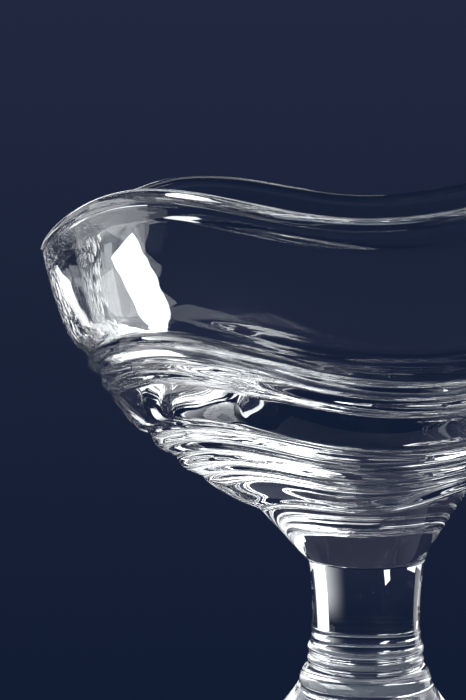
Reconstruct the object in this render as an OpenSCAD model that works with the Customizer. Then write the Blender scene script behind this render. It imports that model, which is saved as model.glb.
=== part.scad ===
// Footed dessert dish in clear pressed glass: wavy bowl, stem, collar and hollow foot.
// The dish stands on z = 0, its axis is Z, and the deep dips of the rim face +X and -X.

/* [Foot] */
// Diameter of the foot
foot_d = 72; // [50:1:95]
// Height of the foot, from the table to the collar
foot_h = 17; // [12:0.5:26]
// Diameter of the foot where the collar sits on it
foot_top_d = 22; // [20:0.5:30]
// Thickness of the foot at its edge
foot_edge_h = 3.2; // [2:0.1:5]
// How fast the foot flares out below the collar
foot_flare = 2.6; // [1.5:0.1:4]
// Diameter of the hollow under the foot
foot_hollow_d = 60; // [30:1:66]
// Depth of the hollow under the foot
foot_hollow_h = 8; // [2:0.5:11]

/* [Collar] */
// Height of the rounded shoulder at the bottom of the collar
shoulder_h = 3; // [2:0.25:5]
// Diameter of the two bead rings
bead_d = 19.4; // [19:0.1:24]
// Height of one bead ring
bead_h = 1.9; // [1.2:0.1:3]
// How far the grooves beside the bead rings are sunk
bead_groove = 0.45; // [0.2:0.05:0.8]

/* [Stem] */
// Height of the stem, from the collar to the bowl
stem_h = 14.2; // [6:0.2:40]
// Diameter of the stem at its waist
stem_waist_d = 17.8; // [12:0.2:18]
// Diameter of the stem at its top, where the bowl is fused on
stem_top_d = 19.6; // [16:0.2:26]
// Height of the waist above the collar
stem_waist_h = 5; // [2:0.2:5.4]

/* [Bowl] */
// Height of the bowl, from the stem to the crests of the rim
bowl_h = 62; // [56:0.5:74]
// Outer diameter of the bowl at the crests of the rim
rim_d = 109; // [90:1:124]
// Thickness of the wall at the rim
wall = 4; // [3:0.1:5]
// How far the upper wall leans out
wall_lean = 5.4; // [2:0.2:8]
// Roundness of the outside of the bowl
belly = 2.6; // [2.4:0.1:3.2]
// Height of the inside floor above the stem
floor_h = 26.5; // [25:0.5:28]
// How far the inside wall leans out
inside_lean = 9; // [8:0.2:11]
// Roundness of the corner between the inside wall and the floor: more is tighter
inside_belly = 10; // [8:0.5:11]
// Hollowness of the inside floor: less is rounder
floor_round = 1; // [0.9:0.05:1.2]

/* [Ridges] */
// Height of the top ledge of the upper ridges above the stem
upper_ridges_h = 37; // [35:0.5:40]
// Spacing of the upper ridges
upper_pitch = 3.2; // [2.8:0.1:3.8]
// Height of the top ledge of the lower ridges above the stem
lower_ridges_h = 23.9; // [23:0.1:26]
// Spacing of the lower ridges
lower_pitch = 3.5; // [2.8:0.1:4]
// How far the lower ridges swell out of the wall
lower_swell = 1; // [0:0.1:1.5]
// Depth of a ledge
ledge_cut = 1.4; // [0.6:0.1:1.8]
// Depth of the top ledge at the front and the back
front_cut = 0.3; // [0:0.1:1.4]
// Depth of the faint ledge under the upper ridges
faint_cut = 0.5; // [0.2:0.1:1]
// Height of the round nose over a ledge
nose_h = 1.2; // [0.8:0.1:1.6]
// Height over which the upper wall curves in to the top ledge
wall_nose_h = 3; // [1.5:0.5:6]
// Height of the knee where the bowl meets its neck
knee_h = 11.2; // [9:0.2:13]
// Diameter of the bowl at the knee
knee_d = 37.6; // [34:0.2:44]
// Depth of the ledge at the knee
knee_cut = 1; // [0.2:0.1:1.4]
// Lean of the neck where it leaves the stem
neck_lean = 0.64; // [0.3:0.02:0.8]

/* [Waves] */
// How far the rim dips on the +X and -X sides
rim_dip = 3.4; // [0:0.1:5]
// Depth of the four scallops of the rim
rim_scallop = 3; // [0:0.1:4]
// How pointed the front and back scallops are
rim_point = 0.4; // [0:0.1:1]
// Part of the ridge waves that comes three times round
ridge_wave_3 = 1.7; // [0:0.1:2.5]
// Part of the ridge waves that comes four times round
ridge_wave_4 = 1.8; // [0:0.1:2.5]
// How far the knee dips on the -X side
knee_dip = 1.9; // [0:0.05:2.2]
// How low on the neck the dip of the knee begins: less is lower
knee_dip_start = 0.6; // [0.5:0.05:1]

/* [Hidden] */
$fn = 96;
clear_glass = [0.80, 0.86, 0.90, 0.45];

collar_h = shoulder_h + 2 * bead_h;
collar_z = foot_h;
stem_z = collar_z + collar_h;
bowl_z = stem_z + stem_h;
stem_foot_d = bead_d - 2 * bead_groove;

columns = 72;
column_step = 360 / columns;
neck_steps = 8;
nose_steps = 3;
terrace_row_h = 2.2;
inside_steps = 16;
// Spacing of the inside rows: below 1 they crowd towards the floor
inside_spread = 0.6;
lip_r = wall / 2;
rim_crest = max([for (a = [0 : 1 : 359]) rim_wave(a)]);
rim_h = bowl_h - rim_crest;

// How late a terrace falls back to the ledge above it: at once on a ridge, near its top on a smooth band
ridge = 1;
smooth_band = 4;
// Ledges from the knee up: height, depth of the cut, height of the nose over it, and the terrace on it
ledges = [
    [knee_h, knee_cut, nose_h, smooth_band],
    [lower_ridges_h - 2 * lower_pitch, ledge_cut, nose_h, ridge],
    [lower_ridges_h - lower_pitch, ledge_cut, nose_h, ridge],
    [lower_ridges_h, ledge_cut, nose_h, smooth_band],
    [upper_ridges_h - 2 * upper_pitch, faint_cut, nose_h, ridge],
    [upper_ridges_h - upper_pitch, ledge_cut, nose_h, ridge],
    [upper_ridges_h, ledge_cut, wall_nose_h, smooth_band]
];
top_ledge = len(ledges) - 1;

// Share of the way from a to b at which x lies
function share(x, a, b) = max(0, min(1, (x - a) / (b - a)));

// Waves, by the angle from +X
function rim_wave(a) = -rim_dip * cos(2 * a) - rim_scallop * cos(4 * a) + rim_point * cos(6 * a);
function ridge_wave(a) = ridge_wave_3 * cos(3 * a) - ridge_wave_4 * cos(4 * a);
function inside_wave(h, a) =
    share(h, upper_ridges_h, rim_h) * rim_wave(a)
    + min(share(h, 0, upper_ridges_h), share(h, rim_h, upper_ridges_h)) * ridge_wave(a);
function outside_wave(h, a) =
    let (rise = pow(share(h, 0, knee_h), knee_dip_start), fade = share(h, upper_ridges_h, knee_h))
    inside_wave(h, a) + min(rise, fade) * knee_dip * cos(a);

// Smooth outside of the bowl without its ledges: radius at a height above the stem
function hull_r(h) =
    let (t = (h - knee_h) / (bowl_h - knee_h))
    knee_d / 2 + (rim_d / 2 - knee_d / 2 - wall_lean) * (1 - pow(1 - min(1, t), belly)) + wall_lean * t;
function neck_r(h) =
    let (rise = knee_d / 2 - knee_cut - stem_top_d / 2 - neck_lean * knee_h)
    stem_top_d / 2 + neck_lean * h + rise * pow(h / knee_h, 2);

// Depth of ledge k: the top ledge is deep on the +X and -X sides and fades to the front and back
function ledge_depth(k, a) =
    k == top_ledge ? front_cut + (ledge_cut - front_cut) * (1 + cos(2 * a)) / 2 : ledges[k][1];

// Relief of the terrace that stands on ledge k
function swell(h) = lower_swell * min(share(h, knee_h, ledges[1][0]), share(h, ledges[4][0], ledges[3][0]));
function ledge_relief(k, h, a) =
    let (nose = ledges[k][0] + ledges[k][2])
    h < nose
        ? -ledge_depth(k, a) * (1 - sin(90 * share(h, ledges[k][0], nose)))
        : k == top_ledge ? 0 : -ledge_depth(k + 1, a) * pow(share(h, nose, ledges[k + 1][0]), ledges[k][3]);

// Inside of the bowl: radius at a height above the stem
function inside_r(h) =
    let (t = share(h, floor_h, bowl_h))
    (rim_d / 2 - wall - inside_lean) * pow(1 - pow(1 - t, inside_belly), floor_round) + inside_lean * t;

// One point of the bowl: the waves lift it, and above the top ledge they also carry it along the wall
function wall_carry(h) = share(h, upper_ridges_h, rim_h);
function bowl_point(r, h, lift, a) = [r * cos(a), r * sin(a), h + lift];

function neck_row(h) =
    [for (i = [0 : columns - 1]) let (a = i * column_step) bowl_point(neck_r(h), h, outside_wave(h, a), a)];
function terrace_row(k, h) = [
    for (i = [0 : columns - 1])
        let (a = i * column_step, lift = outside_wave(h, a))
        bowl_point(hull_r(h + wall_carry(h) * lift) + swell(h) + ledge_relief(k, h, a), h, lift, a)
];
function lip_row(turn) = [
    for (i = [0 : columns - 1])
        let (a = i * column_step, lift = rim_wave(a))
        bowl_point(
            hull_r(rim_h + lift) - lip_r + lip_r * cos(turn),
            rim_h - lip_r + lip_r * sin(turn),
            lift,
            a
        )
];
function inside_row(h) = [
    for (i = [0 : columns - 1])
        let (a = i * column_step, lift = share(h, floor_h, upper_ridges_h) * inside_wave(h, a))
        bowl_point(inside_r(h + wall_carry(h) * lift), h, lift, a)
];

// Heights of the rows of each stretch of the bowl
neck_rows = [for (i = [0 : neck_steps - 1]) knee_h * i / neck_steps];
function terrace_top(k) = k == top_ledge ? rim_h - lip_r : ledges[k + 1][0];
function terrace_heights(k) =
    let (nose = ledges[k][0] + ledges[k][2], steps = ceil((terrace_top(k) - nose) / terrace_row_h))
    concat(
        [for (i = [0 : nose_steps - 1]) ledges[k][0] + ledges[k][2] * i / nose_steps],
        [for (i = [0 : steps - 1]) nose + (terrace_top(k) - nose) * i / steps]
    );
inside_rows = [
    for (i = [1 : inside_steps])
        let (t = 1 - pow(i / (inside_steps + 1), inside_spread))
        floor_h + (rim_h - lip_r - floor_h) * t
];

module foot() {
    flare_steps = 24;
    hollow_steps = 12;
    edge_r = foot_edge_h / 2;
    flare_r = foot_d / 2 - edge_r;
    flare = [
        for (i = [0 : flare_steps])
            let (t = i / flare_steps)
            [
                foot_top_d / 2 + (flare_r - foot_top_d / 2) * t,
                foot_edge_h + (foot_h - foot_edge_h) * pow(1 - t, foot_flare)
            ]
    ];
    edge = [for (turn = [75 : -15 : -75]) [flare_r + edge_r * cos(turn), edge_r + edge_r * sin(turn)]];
    hollow = [
        for (i = [0 : hollow_steps])
            let (t = 1 - i / hollow_steps)
            [foot_hollow_d / 2 * t, foot_hollow_h * (1 - t * t)]
    ];
    color(clear_glass)
        rotate_extrude()
            polygon(concat([[0, foot_h]], flare, edge, [[flare_r, 0]], hollow));
}

module collar() {
    bead_r = bead_d / 2;
    shoulder = [
        for (turn = [0 : 10 : 90])
            [
                foot_top_d / 2 - (foot_top_d / 2 - bead_r + bead_groove) * (1 - cos(turn)),
                shoulder_h * sin(turn)
            ]
    ];
    beads = [
        for (i = [0, 1], turn = [20 : 20 : 180])
            [bead_r - bead_groove + bead_groove * sin(turn), shoulder_h + bead_h * (i + turn / 180)]
    ];
    color(clear_glass)
        translate([0, 0, collar_z])
            rotate_extrude()
                polygon(concat([[0, 0]], shoulder, beads, [[0, collar_h]]));
}

module stem() {
    side_steps = 16;
    waist_r = stem_waist_d / 2;
    side = [
        for (i = [0 : side_steps])
            let (
                h = stem_h * i / side_steps,
                below = h < stem_waist_h,
                end_r = (below ? stem_foot_d : stem_top_d) / 2,
                t = (h - stem_waist_h) / (below ? stem_waist_h : stem_h - stem_waist_h)
            )
            [waist_r + (end_r - waist_r) * t * t, h]
    ];
    color(clear_glass)
        translate([0, 0, stem_z])
            rotate_extrude()
                polygon(concat([[0, 0]], side, [[0, stem_h]]));
}

module bowl() {
    rows = concat(
        [for (h = neck_rows) neck_row(h)],
        [for (k = [0 : top_ledge], h = terrace_heights(k)) terrace_row(k, h)],
        [for (turn = [0 : 22.5 : 180]) lip_row(turn)],
        [for (h = inside_rows) inside_row(h)]
    );
    last = len(rows) - 1;
    points = concat([for (row = rows, point = row) point], [[0, 0, floor_h]]);
    base = [for (i = [0 : columns - 1]) i];
    sides = [
        for (j = [0 : last - 1], i = [0 : columns - 1])
            let (n = (i + 1) % columns, a = j * columns, b = a + columns)
            each [[a + i, b + i, b + n], [a + i, b + n, a + n]]
    ];
    floor_point = len(points) - 1;
    floor_faces = [
        for (i = [0 : columns - 1])
            [last * columns + i, floor_point, last * columns + (i + 1) % columns]
    ];
    color(clear_glass)
        translate([0, 0, bowl_z])
            polyhedron(points = points, faces = concat([base], sides, floor_faces), convexity = 10);
}

foot();
collar();
stem();
bowl();
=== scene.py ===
import math

import bpy
import numpy as np
from mathutils import Euler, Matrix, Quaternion, Vector


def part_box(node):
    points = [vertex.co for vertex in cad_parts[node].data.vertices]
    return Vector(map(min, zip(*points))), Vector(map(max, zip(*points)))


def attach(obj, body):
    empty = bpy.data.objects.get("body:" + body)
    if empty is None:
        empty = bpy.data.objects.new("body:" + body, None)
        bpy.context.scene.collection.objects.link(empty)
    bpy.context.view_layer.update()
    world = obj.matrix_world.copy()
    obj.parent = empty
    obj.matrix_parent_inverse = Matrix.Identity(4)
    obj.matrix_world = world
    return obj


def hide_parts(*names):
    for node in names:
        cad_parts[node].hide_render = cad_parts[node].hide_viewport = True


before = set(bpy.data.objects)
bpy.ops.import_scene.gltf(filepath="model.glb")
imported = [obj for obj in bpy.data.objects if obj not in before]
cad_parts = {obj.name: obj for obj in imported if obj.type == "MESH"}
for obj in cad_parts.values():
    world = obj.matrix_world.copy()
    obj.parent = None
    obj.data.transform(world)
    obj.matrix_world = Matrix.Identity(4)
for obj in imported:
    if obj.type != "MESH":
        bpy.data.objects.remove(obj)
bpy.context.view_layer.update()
MM = 0.001

# Bowl
# A thick bowl of clear soda-lime glass, pressed in a mould and fire-polished at the wavy rim.
# Two pairs of rounded ledges run round it in waves, and its neck is fused onto the stem.

bowl_low, bowl_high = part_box("bowl")
bowl_z = bowl_low[2] / MM
bowl_h = (bowl_high[2] - bowl_low[2]) / MM
rim_d = 109
wall = 4
wall_lean = 5.4
belly = 2.6
floor_h = 26.5
inside_lean = 9
inside_belly = 10
floor_round = 1
upper_ridges_h = 37
upper_pitch = 3.2
lower_ridges_h = 23.9
lower_pitch = 3.5
lower_swell = 1
ledge_cut = 1.4
front_cut = 0.3
faint_cut = 0.5
nose_h = 1.2
wall_nose_h = 3
knee_h = 11.2
knee_d = 37.6
knee_cut = 1
neck_lean = 0.64
stem_top_d = 19.6
rim_dip = 3.4
rim_scallop = 3
rim_point = 0.4
ridge_wave_3 = 1.7
ridge_wave_4 = 1.8
knee_dip = 1.9
knee_dip_start = 0.6
edge_round = 0.3
fold_pitch = 0.85
fold_depth = 0.03
fold_drifts = [(0.55, 2, 0.7), (0.4, 5, 0), (0.2, 11, 1.3)]
fold_fade = 1
columns = 360
row_h = 0.35

around = np.arange(columns) * 2 * math.pi / columns
band_power = 4
ridge_power = 1
top_cut = front_cut + (ledge_cut - front_cut) * (1 + np.cos(2 * around)) / 2
ledges = [
    (knee_h, knee_cut, nose_h, band_power),
    (lower_ridges_h - 2 * lower_pitch, ledge_cut, nose_h, ridge_power),
    (lower_ridges_h - lower_pitch, ledge_cut, nose_h, ridge_power),
    (lower_ridges_h, ledge_cut, nose_h, band_power),
    (upper_ridges_h - 2 * upper_pitch, faint_cut, nose_h, ridge_power),
    (upper_ridges_h - upper_pitch, ledge_cut, nose_h, ridge_power),
    (upper_ridges_h, top_cut, wall_nose_h, band_power),
]


def share(x, a, b):
    return min(1, max(0, (x - a) / (b - a)))


def rim_wave(turn):
    return -rim_dip * np.cos(2 * turn) - rim_scallop * np.cos(4 * turn) + rim_point * np.cos(6 * turn)


def ridge_wave(turn):
    return ridge_wave_3 * np.cos(3 * turn) - ridge_wave_4 * np.cos(4 * turn)


lip_r = wall / 2
rim_h = bowl_h - rim_wave(around).max()


def inside_wave(h):
    ridges = min(share(h, 0, upper_ridges_h), share(h, rim_h, upper_ridges_h))
    return share(h, upper_ridges_h, rim_h) * rim_wave(around) + ridges * ridge_wave(around)


def outside_wave(h):
    knee = min(share(h, 0, knee_h) ** knee_dip_start, share(h, upper_ridges_h, knee_h))
    return inside_wave(h) + knee * knee_dip * np.cos(around)


def hull_r(h):
    t = (h - knee_h) / (bowl_h - knee_h)
    bulge = rim_d / 2 - knee_d / 2 - wall_lean
    return knee_d / 2 + bulge * (1 - (1 - np.minimum(1, t)) ** belly) + wall_lean * t


def neck_r(h):
    rise = knee_d / 2 - knee_cut - stem_top_d / 2 - neck_lean * knee_h
    return stem_top_d / 2 + neck_lean * h + rise * (h / knee_h) ** 2


def ledge_relief(h):
    below = [k for k in range(len(ledges)) if ledges[k][0] <= h]
    if not below:
        return None
    k = below[-1]
    foot, cut, nose, power = ledges[k]
    swell = lower_swell * min(share(h, knee_h, ledges[1][0]), share(h, ledges[4][0], ledges[3][0]))
    if h < foot + nose:
        return swell - cut * (1 - math.sin(math.pi / 2 * share(h, foot, foot + nose)))
    if k == len(ledges) - 1:
        return swell
    next_foot, next_cut = ledges[k + 1][:2]
    return swell - next_cut * share(h, foot + nose, next_foot) ** power


def outside_r(h):
    if h < knee_h:
        return neck_r(h)
    return hull_r(h) + ledge_relief(h)


def soft_offset(h):
    near = [h + edge_round * step / 3 for step in range(-3, 4)]
    offsets = [outside_r(x) - hull_r(x) for x in near]
    return sum(offsets) / len(offsets)


def fold_lines(h):
    upper_start = ledges[4][0]
    lower_start = ledges[1][0]
    upper_end = upper_ridges_h + wall_nose_h
    lower_end = lower_ridges_h + fold_fade
    upper_fade = share(h, upper_end, upper_end - 2 * fold_fade)
    upper = min(share(h, upper_start, upper_start + fold_fade), upper_fade)
    lower = min(share(h, lower_start, lower_start + fold_fade), share(h, lower_end, lower_ridges_h))
    drift = sum(size * np.sin(waves * around + start) for size, waves, start in fold_drifts)
    return fold_depth * max(upper, lower) * np.sin(2 * math.pi * (h / fold_pitch + drift))


def inside_r(h):
    t = np.clip((h - floor_h) / (bowl_h - floor_h), 0, 1)
    return (rim_d / 2 - wall - inside_lean) * (1 - (1 - t) ** inside_belly) ** floor_round + inside_lean * t


def ring(r, z):
    points = np.zeros((columns, 3))
    points[:, 0] = r * np.cos(around)
    points[:, 1] = r * np.sin(around)
    points[:, 2] = z
    return points * MM


def outside_ring(h):
    lift = outside_wave(h)
    if h <= 0:
        return ring(stem_top_d / 2, bowl_z)
    carried = h + share(h, upper_ridges_h, rim_h) * lift
    if h < edge_round:
        return ring(neck_r(h), bowl_z + h + lift)
    return ring(hull_r(carried) + soft_offset(h) + fold_lines(h), bowl_z + h + lift)


def lip_ring(turn):
    lift = rim_wave(around)
    r = hull_r(rim_h + lift) - lip_r + lip_r * math.cos(turn)
    return ring(r, bowl_z + rim_h - lip_r + lip_r * math.sin(turn) + lift)


def inside_ring(h):
    lift = share(h, floor_h, upper_ridges_h) * inside_wave(h)
    return ring(inside_r(h + share(h, upper_ridges_h, rim_h) * lift), bowl_z + h + lift)


outside_count = int((rim_h - lip_r) / row_h)
lip_count = 24
inside_count = 110
inside_spread = 0.6
bowl_rings = [outside_ring((rim_h - lip_r) * i / outside_count) for i in range(outside_count)]
bowl_rings += [lip_ring(math.pi * i / lip_count) for i in range(lip_count + 1)]
for i in range(1, inside_count):
    depth = (i / inside_count) ** inside_spread
    bowl_rings.append(inside_ring(rim_h - lip_r - (rim_h - lip_r - floor_h) * depth))


def rings_to_mesh(name, rings, fused_start, fused_end):
    # A start or end that is not fused to a neighbour closes in a point on the axis.
    points = np.concatenate(rings)
    count = len(rings[0])
    faces = []
    for j in range(len(rings) - 1):
        for i in range(count):
            n = (i + 1) % count
            faces.append((j * count + i, j * count + n, (j + 1) * count + n, (j + 1) * count + i))
    skin = len(faces)
    ends = [(fused_start, 0, True), (fused_end, (len(rings) - 1) * count, False)]
    tips = []
    for fused, first, flip in ends:
        loop = [first + i for i in range(count)]
        if fused:
            faces.append(tuple(reversed(loop)) if flip else tuple(loop))
            continue
        tip = len(points) + len(tips)
        tips.append((0, 0, points[first, 2]))
        for i in range(count):
            pair = (loop[i], loop[(i + 1) % count])
            faces.append((pair[1], pair[0], tip) if flip else (pair[0], pair[1], tip))
    mesh = bpy.data.meshes.new(name)
    mesh.from_pydata([tuple(p) for p in points] + tips, [], faces)
    piece = bpy.data.objects.new(name, mesh)
    bpy.context.scene.collection.objects.link(piece)
    for polygon in mesh.polygons:
        polygon.use_smooth = True
        if len(polygon.vertices) > 4:
            polygon.use_smooth = False
            polygon.material_index = 1
    mesh.update()
    return piece


def linear(colour):
    parts = [int(colour[i : i + 2], 16) / 255 for i in (1, 3, 5)]
    return [c / 12.92 if c <= 0.04045 else ((c + 0.055) / 1.055) ** 2.4 for c in parts] + [1]


def add_node(tree, kind, settings={}, inputs={}, links={}):
    node = tree.nodes.new(kind)
    for key, value in settings.items():
        setattr(node, key, value)
    for key, value in inputs.items():
        node.inputs[key].default_value = value
    for key, socket in links.items():
        tree.links.new(socket, node.inputs[key])
    return node


# Clear soda-lime glass, pressed and fire-polished: colourless, hard bright reflections,
# and a faint ripple about 9 mm long that the mould leaves, which makes the reflections swim.
# Along the two mould seams, left and right, the wall is dimpled, so the light breaks into crumbs.
pressed_glass = bpy.data.materials.new("soda_lime_glass_fire_polished")
pressed_glass.use_nodes = True
glass_tree = pressed_glass.node_tree
glass_tree.nodes.clear()
ripple_mm = 9
ripple_depth_mm = 0.03
dimple_mm = 1.3
dimple_depth_mm = 0.16
seam_half_mm = 12
seam_full_mm = 7.2
seam_start_mm = 1
seam_end_mm = 3
seam_low_mm = bowl_z + upper_ridges_h + 1
seam_high_mm = bowl_z + rim_h - 4
glass_place = add_node(glass_tree, "ShaderNodeTexCoord")
glass_ripple = add_node(
    glass_tree,
    "ShaderNodeTexNoise",
    inputs={"Scale": 1 / (ripple_mm * MM), "Detail": 2, "Roughness": 0.4},
    links={"Vector": glass_place.outputs["Object"]},
)
glass_bump = add_node(
    glass_tree,
    "ShaderNodeBump",
    inputs={"Strength": 1, "Distance": ripple_depth_mm * MM},
    links={"Height": glass_ripple.outputs["Fac"]},
)
glass_axes = add_node(glass_tree, "ShaderNodeSeparateXYZ", links={"Vector": glass_place.outputs["Object"]})
seam_off = add_node(
    glass_tree,
    "ShaderNodeMath",
    {"operation": "ABSOLUTE"},
    links={0: glass_axes.outputs["Y"]},
)
seam_side = add_node(
    glass_tree,
    "ShaderNodeMapRange",
    {"interpolation_type": "SMOOTHSTEP"},
    inputs={"From Min": seam_half_mm * MM, "From Max": seam_full_mm * MM},
    links={"Value": seam_off.outputs["Value"]},
)
seam_foot = add_node(
    glass_tree,
    "ShaderNodeMapRange",
    inputs={
        "From Min": seam_low_mm * MM,
        "From Max": (seam_low_mm + seam_start_mm) * MM,
        "To Max": dimple_depth_mm,
    },
    links={"Value": glass_axes.outputs["Z"]},
)
seam_top = add_node(
    glass_tree,
    "ShaderNodeMapRange",
    inputs={"From Min": seam_high_mm * MM, "From Max": (seam_high_mm - seam_end_mm) * MM},
    links={"Value": glass_axes.outputs["Z"]},
)
seam_band = add_node(
    glass_tree,
    "ShaderNodeMath",
    {"operation": "MULTIPLY"},
    links={0: seam_foot.outputs["Result"], 1: seam_top.outputs["Result"]},
)
seam_depth = add_node(
    glass_tree,
    "ShaderNodeMath",
    {"operation": "MULTIPLY"},
    links={0: seam_band.outputs["Value"], 1: seam_side.outputs["Result"]},
)
dimples = add_node(
    glass_tree,
    "ShaderNodeTexVoronoi",
    {"feature": "SMOOTH_F1"},
    inputs={"Scale": 1 / (dimple_mm * MM), "Smoothness": 0.6},
    links={"Vector": glass_place.outputs["Object"]},
)
dimple_height = add_node(
    glass_tree,
    "ShaderNodeMath",
    {"operation": "MULTIPLY"},
    links={0: dimples.outputs["Distance"], 1: seam_depth.outputs["Value"]},
)
dimple_bump = add_node(
    glass_tree,
    "ShaderNodeBump",
    inputs={"Strength": 1, "Distance": MM},
    links={"Height": dimple_height.outputs["Value"], "Normal": glass_bump.outputs["Normal"]},
)
glass_surface = add_node(
    glass_tree,
    "ShaderNodeBsdfPrincipled",
    inputs={
        "Base Color": linear("#fafdfd"),
        "Roughness": 0.0,
        "IOR": 1.52,
        "Transmission Weight": 1,
    },
    links={"Normal": dimple_bump.outputs["Normal"]},
)
add_node(glass_tree, "ShaderNodeOutputMaterial", links={"Surface": glass_surface.outputs["BSDF"]})

# Fused joint inside the glass: the two gathers run together, so nothing shows there.
fused_joint = bpy.data.materials.new("fused_glass_joint")
fused_joint.use_nodes = True
fused_joint.node_tree.nodes["Principled BSDF"].inputs["Alpha"].default_value = 0

bowl = rings_to_mesh("bowl_glass", bowl_rings, True, False)
bowl.data.materials.append(pressed_glass)
bowl.data.materials.append(fused_joint)
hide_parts("bowl")
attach(bowl, "root")

# Stem
# A short solid stem of the same glass with a slight waist, drawn while hot.
# The bowl is fused to its top and the collar to its foot.

stem_low, stem_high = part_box("stem")
stem_z = stem_low[2] / MM
stem_h = (stem_high[2] - stem_low[2]) / MM
stem_waist_d = 17.8
stem_waist_h = 5
bead_d = 19.4
bead_groove = 0.45
stem_foot_d = bead_d - 2 * bead_groove
stem_count = 48


def stem_r(h):
    below = h < stem_waist_h
    end = stem_foot_d if below else stem_top_d
    t = (h - stem_waist_h) / (stem_waist_h if below else stem_h - stem_waist_h)
    return stem_waist_d / 2 + (end - stem_waist_d) / 2 * t * t


stem_heights = [stem_h * i / stem_count for i in range(stem_count + 1)]
stem = rings_to_mesh("stem_glass", [ring(stem_r(h), stem_z + h) for h in stem_heights], True, True)
stem.data.materials.append(pressed_glass)
stem.data.materials.append(fused_joint)
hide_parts("stem")
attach(stem, "root")

# Collar
# Two bead rings over a round shoulder, where the stem was joined to the foot.
# They are pressed in the same clear glass and fused on both sides.

collar_low, collar_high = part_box("collar")
collar_z = collar_low[2] / MM
foot_top_d = (collar_high[0] - collar_low[0]) / MM
shoulder_h = 3
bead_h = 1.9
bead_r = bead_d / 2
shoulder_count = 20
bead_count = 18

collar_outline = []
for i in range(shoulder_count):
    turn = math.pi / 2 * i / shoulder_count
    r = foot_top_d / 2 - (foot_top_d / 2 - bead_r + bead_groove) * (1 - math.cos(turn))
    collar_outline.append((r, shoulder_h * math.sin(turn)))
for bead in range(2):
    for i in range(bead_count):
        swell = bead_groove * math.sin(math.pi * i / bead_count)
        collar_outline.append((bead_r - bead_groove + swell, shoulder_h + bead_h * (bead + i / bead_count)))
collar_outline.append((bead_r - bead_groove, shoulder_h + 2 * bead_h))
collar = rings_to_mesh("collar_glass", [ring(r, collar_z + h) for r, h in collar_outline], True, True)
collar.data.materials.append(pressed_glass)
collar.data.materials.append(fused_joint)
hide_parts("collar")
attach(collar, "root")

# Foot
# A round foot that flares out from the collar to a rounded edge, pressed in the same glass.
# It is hollow underneath, stands on a flat ring, and is fused to the collar.

foot_low, foot_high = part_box("foot")
foot_d = (foot_high[0] - foot_low[0]) / MM
foot_h = (foot_high[2] - foot_low[2]) / MM
foot_edge_h = 3.2
foot_flare = 2.6
foot_hollow_d = 60
foot_hollow_h = 8
edge_r = foot_edge_h / 2
flare_r = foot_d / 2 - edge_r
flare_count = 60
edge_count = 16
hollow_count = 50

foot_outline = []
for i in range(1, hollow_count + 1):
    t = i / hollow_count
    foot_outline.append((foot_hollow_d / 2 * t, foot_hollow_h * (1 - t * t)))
for i in range(edge_count):
    turn = -math.pi / 2 + math.pi * i / edge_count
    foot_outline.append((flare_r + edge_r * math.cos(turn), edge_r + edge_r * math.sin(turn)))
for i in range(flare_count + 1):
    t = 1 - i / flare_count
    r = foot_top_d / 2 + (flare_r - foot_top_d / 2) * t
    foot_outline.append((r, foot_edge_h + (foot_h - foot_edge_h) * (1 - t) ** foot_flare))
foot = rings_to_mesh("foot_glass", [ring(r, h) for r, h in foot_outline], False, True)
foot.data.materials.append(pressed_glass)
foot.data.materials.append(fused_joint)
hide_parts("foot")
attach(foot, "root")

# Floor
# A plain grey-blue board under the dish, a little wider than the foot.
# Its top lies a hair below the standing ring, so that the two faces don't share one plane.

board_half = 47 * MM
board_top = -0.2 * MM
board = bpy.data.objects.new("board", bpy.data.meshes.new("board"))
board.data.from_pydata(
    [
        (-board_half, -board_half, board_top),
        (board_half, -board_half, board_top),
        (board_half, board_half, board_top),
        (-board_half, board_half, board_top),
    ],
    [],
    [(0, 1, 2, 3)],
)
bpy.context.scene.collection.objects.link(board)
board_paint = bpy.data.materials.new("grey_blue_matt_paint")
board_paint.use_nodes = True
board_paint.node_tree.nodes["Principled BSDF"].inputs["Base Color"].default_value = linear("#aab3c2")
board_paint.node_tree.nodes["Principled BSDF"].inputs["Roughness"].default_value = 0.8
board.data.materials.append(board_paint)

# Studio
# A dark blue room, lighter towards the ceiling, with a soft glow behind the dish on the right.
# A slanted strip light stands far behind on the left, and soft lights stand round the dish.

walls_low = -0.27
walls_high = 0.08
ceiling_start = 0.3
ceiling_full = 0.9
glow_strength = 0.8
glow_reach = 0.3
glow_full_reach = 0.1
room = bpy.data.worlds.new("dark_blue_room")
bpy.context.scene.world = room
room.use_nodes = True
room_tree = room.node_tree
room_tree.nodes.clear()
room_place = add_node(room_tree, "ShaderNodeTexCoord")
room_axes = add_node(room_tree, "ShaderNodeSeparateXYZ", links={"Vector": room_place.outputs["Generated"]})
room_height = add_node(
    room_tree,
    "ShaderNodeMapRange",
    inputs={"From Min": walls_low, "From Max": walls_high},
    links={"Value": room_axes.outputs["Z"]},
)
room_above = add_node(
    room_tree,
    "ShaderNodeMapRange",
    inputs={"From Min": ceiling_start, "From Max": ceiling_full},
    links={"Value": room_axes.outputs["Z"]},
)
room_walls = add_node(
    room_tree,
    "ShaderNodeMix",
    {"data_type": "RGBA"},
    inputs={"A": linear("#111b31"), "B": linear("#222940")},
    links={"Factor": room_height.outputs["Result"]},
)
room_ceiling = add_node(
    room_tree,
    "ShaderNodeMix",
    {"data_type": "RGBA"},
    inputs={"B": linear("#2c2e40")},
    links={"Factor": room_above.outputs["Result"], "A": room_walls.outputs["Result"]},
)
room_turn = add_node(
    room_tree,
    "ShaderNodeMath",
    {"operation": "ARCTAN2"},
    links={0: room_axes.outputs["Y"], 1: room_axes.outputs["X"]},
)
room_level = add_node(
    room_tree,
    "ShaderNodeMath",
    {"operation": "ABSOLUTE"},
    links={0: room_axes.outputs["Z"]},
)
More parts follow.
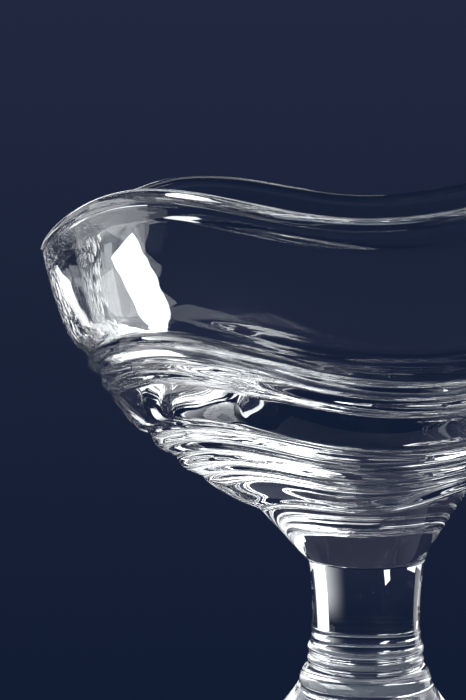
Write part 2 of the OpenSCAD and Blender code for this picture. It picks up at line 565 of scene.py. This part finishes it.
glow_left = add_node(
    room_tree,
    "ShaderNodeMapRange",
    {"interpolation_type": "SMOOTHSTEP"},
    inputs={"From Min": math.radians(76), "From Max": math.radians(50), "To Max": glow_strength},
    links={"Value": room_turn.outputs["Value"]},
)
glow_right = add_node(
    room_tree,
    "ShaderNodeMapRange",
    {"interpolation_type": "SMOOTHSTEP"},
    inputs={"From Min": math.radians(24), "From Max": math.radians(46)},
    links={"Value": room_turn.outputs["Value"]},
)
glow_high = add_node(
    room_tree,
    "ShaderNodeMapRange",
    {"interpolation_type": "SMOOTHSTEP"},
    inputs={"From Min": glow_reach, "From Max": glow_full_reach},
    links={"Value": room_level.outputs["Value"]},
)
glow_sides = add_node(
    room_tree,
    "ShaderNodeMath",
    {"operation": "MULTIPLY"},
    links={0: glow_left.outputs["Result"], 1: glow_right.outputs["Result"]},
)
glow = add_node(
    room_tree,
    "ShaderNodeMath",
    {"operation": "MULTIPLY"},
    links={0: glow_sides.outputs["Value"], 1: glow_high.outputs["Result"]},
)
room_glow = add_node(
    room_tree,
    "ShaderNodeMix",
    {"data_type": "RGBA"},
    inputs={"B": linear("#fafaff")},
    links={"Factor": glow.outputs["Value"], "A": room_ceiling.outputs["Result"]},
)
room_light = add_node(room_tree, "ShaderNodeBackground", links={"Color": room_glow.outputs["Result"]})
add_node(room_tree, "ShaderNodeOutputWorld", links={"Surface": room_light.outputs["Background"]})

dish_middle = Vector((0, 0, 0.06))


def soft_light(name, turn, rise, wide, high, radiance, away=0.7, tilt=0):
    # The place and the size are angles in degrees as the dish sees them, and away is in metres.
    width = 2 * away * math.tan(math.radians(wide / 2))
    height = 2 * away * math.tan(math.radians(high / 2))
    lamp = bpy.data.lights.new(name, "AREA")
    lamp.shape = "RECTANGLE"
    lamp.size = width
    lamp.size_y = height
    lamp.energy = radiance * math.pi * width * height
    holder = bpy.data.objects.new(name, lamp)
    turn = math.radians(turn)
    rise = math.radians(rise)
    out = Vector((math.cos(rise) * math.cos(turn), math.cos(rise) * math.sin(turn), math.sin(rise)))
    holder.location = dish_middle + away * out
    facing = out.to_track_quat("Z", "Y")
    facing.rotate(Quaternion(out, math.radians(tilt)))
    holder.rotation_euler = facing.to_euler()
    bpy.context.scene.collection.objects.link(holder)


soft_light("left_strip_light", 102.3, 3.2, 4, 15.8, 1.5, away=4, tilt=24)
soft_light("left_upper_light", 109, 13, 20, 6, 3.3, away=2)
soft_light("left_side_light", 117.5, 5.2, 9, 12, 0.3, away=0.35)
soft_light("left_edge_light", 129, 3, 13, 10, 1.6, away=0.4)
soft_light("left_back_light", 140, 14, 24, 24, 1.2)
soft_light("left_low_light", 178, -8, 46, 12, 0.8)
soft_light("left_table_light", 168.5, -30, 23, 16, 2)
soft_light("right_soft_light", 40, 32, 40, 24, 2.6)
soft_light("right_back_light", 69, 32, 18, 24, 7.5)
soft_light("right_middle_light", 41, 11, 42, 18, 1.3)
soft_light("right_low_light", 45, -13, 23, 30, 1.4)
soft_light("right_high_light", 45, 52.5, 30, 15, 1.5)
soft_light("back_light", 82.5, 52, 15, 20, 0.8)

# Light turns many times inside the thick glass before it leaves it again.
glass_turns = 32
bpy.context.scene.cycles.max_bounces = glass_turns
bpy.context.scene.cycles.glossy_bounces = glass_turns
bpy.context.scene.cycles.transmission_bounces = glass_turns

# Camera
# Close to the dish, a little above the rim, looking down and to the left of its axis.

photo_h = 700
focal_px = 2204
look_down = 5.87
look_left = 3.51
camera = bpy.data.cameras.new("camera")
camera.sensor_fit = "AUTO"
camera.sensor_width = 36
camera.lens = focal_px / photo_h * camera.sensor_width
viewer = bpy.data.objects.new("camera", camera)
viewer.location = (0, -0.36, 0.10935)
viewer.rotation_euler = Euler((math.radians(90 - look_down), 0, math.radians(look_left)))
bpy.context.scene.collection.objects.link(viewer)
bpy.context.scene.camera = viewer
bpy.context.scene.view_settings.view_transform = "Standard"
